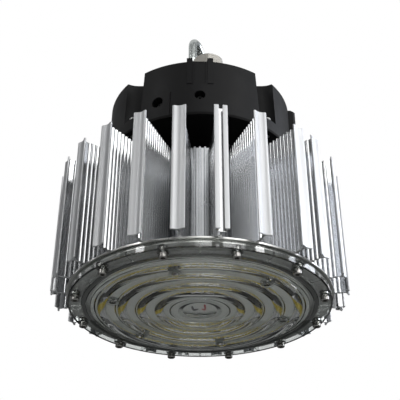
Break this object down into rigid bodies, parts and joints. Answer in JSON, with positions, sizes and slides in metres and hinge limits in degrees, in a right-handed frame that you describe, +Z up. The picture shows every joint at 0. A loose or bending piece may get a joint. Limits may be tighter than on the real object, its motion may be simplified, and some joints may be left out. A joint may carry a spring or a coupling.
{
  "type": "high bay light",
  "caption": "Round high bay light with a crown of upright aluminium fins, clear ring lens underneath, black driver housing and hanging eye on top.",
  "frame": {"origin": "on the vertical middle line, in the plane of the lens screw heads, which is the lowest plane of the light", "axes": "+Z up towards the hanging eye, -Y towards the side the picture shows, +X to the right seen from there"},
  "size_m": [0.2978, 0.2978, 0.3629],
  "materials": {
    "fin_aluminium": "satin anodised extrusion",
    "core_aluminium": "satin extrusion",
    "base_aluminium": "turned, satin",
    "clear_cover": "clear polycarbonate, glossy",
    "stainless": "polished stainless",
    "inner_steel": "zinc plated",
    "black_steel": "black oxide",
    "zinc_screw": "zinc plated",
    "black_housing": "matt black moulding",
    "black_base": "black powder coat on die-cast aluminium",
    "silicone": "matt silicone",
    "black_rubber": "matt",
    "led_phosphor": "yellow phosphor in silicone",
    "board_white": "white solder mask on aluminium board",
    "pad_grey": "matt thermal pad",
    "driver_case": "grey potted case",
    "terminal_white": "white nylon",
    "nickel": "nickel plated brass, satin",
    "zinc_steel": "bright zinc plated steel"
  },
  "bodies": {
    "root": {"fin_01": "fin_aluminium", "fin_02": "fin_aluminium", "fin_03": "fin_aluminium", "fin_04": "fin_aluminium", "fin_05": "fin_aluminium", "fin_06": "fin_aluminium", "fin_07": "fin_aluminium", "fin_08": "fin_aluminium", "fin_09": "fin_aluminium", "fin_10": "fin_aluminium", "fin_11": "fin_aluminium", "fin_12": "fin_aluminium", "fin_13": "fin_aluminium", "fin_14": "fin_aluminium", "fin_15": "fin_aluminium", "fin_16": "fin_aluminium", "fin_17": "fin_aluminium", "fin_18": "fin_aluminium", "fin_19": "fin_aluminium", "fin_20": "fin_aluminium", "fin_21": "fin_aluminium", "fin_22": "fin_aluminium", "fin_23": "fin_aluminium", "fin_24": "fin_aluminium", "heatsink_core": "core_aluminium", "base_plate": "base_aluminium", "lens_cover": "clear_cover", "lens_screws": "stainless", "lens_inner_screws": "stainless", "core_screws": "inner_steel", "top_plate_screws": "inner_steel", "neck_screws": "inner_steel", "driver_tray": "inner_steel", "side_screws": "black_steel", "cover_screws": "zinc_screw", "housing_cover": "black_housing", "side_port_cover": "black_housing", "housing_base": "black_base", "neck": "black_base", "top_plate": "black_base", "lens_gasket": "silicone", "housing_seal": "silicone", "gland_seal": "silicone", "lead_grommet": "black_rubber", "dc_lead": "black_rubber", "leds": "led_phosphor", "led_board": "board_white", "thermal_pad": "pad_grey", "led_driver": "driver_case", "terminal_block": "terminal_white", "gland_body": "nickel", "gland_cap": "nickel", "gland_locknut": "nickel", "hook": "zinc_steel", "hook_washer": "zinc_steel", "hook_nut": "zinc_steel", "hook_inner_nut": "zinc_steel"}
  },
  "joints": []
}
